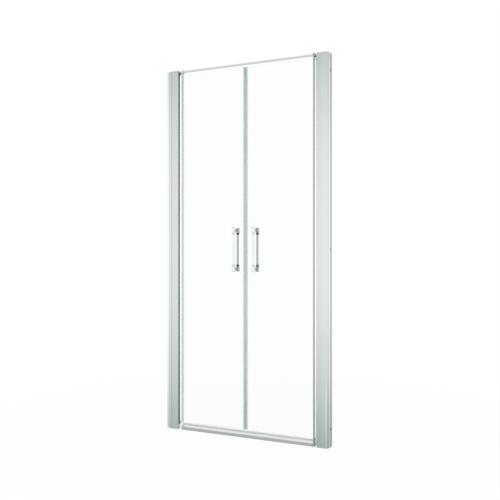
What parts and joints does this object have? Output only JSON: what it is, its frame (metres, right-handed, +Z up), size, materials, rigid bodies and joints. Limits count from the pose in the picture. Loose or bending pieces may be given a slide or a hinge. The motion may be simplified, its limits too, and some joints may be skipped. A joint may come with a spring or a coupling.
{
  "type": "hinged shower door",
  "caption": "Saloon-style shower door for a niche: clear glass leaves on pivots between adjustable aluminium side frames, with a low sill, clear seals and pull handles.",
  "frame": {"origin": "middle of the sill's underside, in the plane of the closed glass", "axes": "+Z up, +X along the door towards its right wall as seen from outside the shower, +Y into the shower"},
  "size_m": [0.905, 0.07, 1.9058],
  "materials": {
    "frame_aluminium": "bright anodised, satin",
    "shoe_aluminium": "satin, a darker grey than the frame",
    "handle_chrome": "polished",
    "glass": "clear, toughened",
    "clear_seal": "clear soft plastic",
    "clear_washer": "clear plastic",
    "gasket_rubber": "matt light grey",
    "magnet_rubber": "matt grey",
    "dark_plastic": "moulded, fine grain",
    "nylon": "natural nylon",
    "steel": "stainless"
  },
  "bodies": {
    "frame": {"left_side_frame": "frame_aluminium", "left_frame_cap": "dark_plastic", "left_adjusting_screws": "steel", "left_screw_caps": "dark_plastic", "left_lower_pivot_block": "dark_plastic", "left_upper_pivot_block": "dark_plastic", "left_pivot_pins": "steel", "right_side_frame": "frame_aluminium", "right_frame_cap": "dark_plastic", "right_adjusting_screws": "steel", "right_screw_caps": "dark_plastic", "right_lower_pivot_block": "dark_plastic", "right_upper_pivot_block": "dark_plastic", "right_pivot_pins": "steel", "sill": "frame_aluminium", "top_rail": "frame_aluminium", "pivot_block_screws": "steel", "sill_screws": "steel", "rail_screws": "steel"},
    "left_channel": {"left_wall_channel": "frame_aluminium"},
    "right_channel": {"right_wall_channel": "frame_aluminium"},
    "left_leaf": {"left_glass": "glass", "left_hinge_stile": "frame_aluminium", "left_stile_gasket": "gasket_rubber", "left_lower_shoe": "shoe_aluminium", "left_upper_shoe": "shoe_aluminium", "left_hinge_bushes": "nylon", "left_clamp_screws": "steel", "left_hinge_seal": "clear_seal", "left_closing_seal": "clear_seal", "left_magnet_strip": "magnet_rubber", "left_drip_seal": "clear_seal", "left_outer_grip": "handle_chrome", "left_inner_grip": "handle_chrome", "left_handle_posts": "handle_chrome", "left_handle_studs": "steel", "left_glass_washers": "clear_washer", "left_grub_screws": "steel"},
    "right_leaf": {"right_glass": "glass", "right_hinge_stile": "frame_aluminium", "right_stile_gasket": "gasket_rubber", "right_lower_shoe": "shoe_aluminium", "right_upper_shoe": "shoe_aluminium", "right_hinge_bushes": "nylon", "right_clamp_screws": "steel", "right_hinge_seal": "clear_seal", "right_closing_seal": "clear_seal", "right_magnet_strip": "magnet_rubber", "right_drip_seal": "clear_seal", "right_outer_grip": "handle_chrome", "right_inner_grip": "handle_chrome", "right_handle_posts": "handle_chrome", "right_handle_studs": "steel", "right_glass_washers": "clear_washer", "right_grub_screws": "steel"}
  },
  "joints": [
    {"name": "left_leaf_swing", "type": "hinge", "parent": "frame", "child": "left_leaf", "pos_m": [-0.3785, 0, 0.95], "axis": [0, 0, 1], "range_deg": [-90, 90]},
    {"name": "right_leaf_swing", "type": "hinge", "parent": "frame", "child": "right_leaf", "pos_m": [0.3785, 0, 0.95], "axis": [0, 0, -1], "range_deg": [-90, 90]},
    {"name": "left_channel_adjust", "type": "slide", "parent": "frame", "child": "left_channel", "axis": [-1, 0, 0], "range_m": [-0.006, 0.006]},
    {"name": "right_channel_adjust", "type": "slide", "parent": "frame", "child": "right_channel", "axis": [1, 0, 0], "range_m": [-0.006, 0.006]}
  ]
}
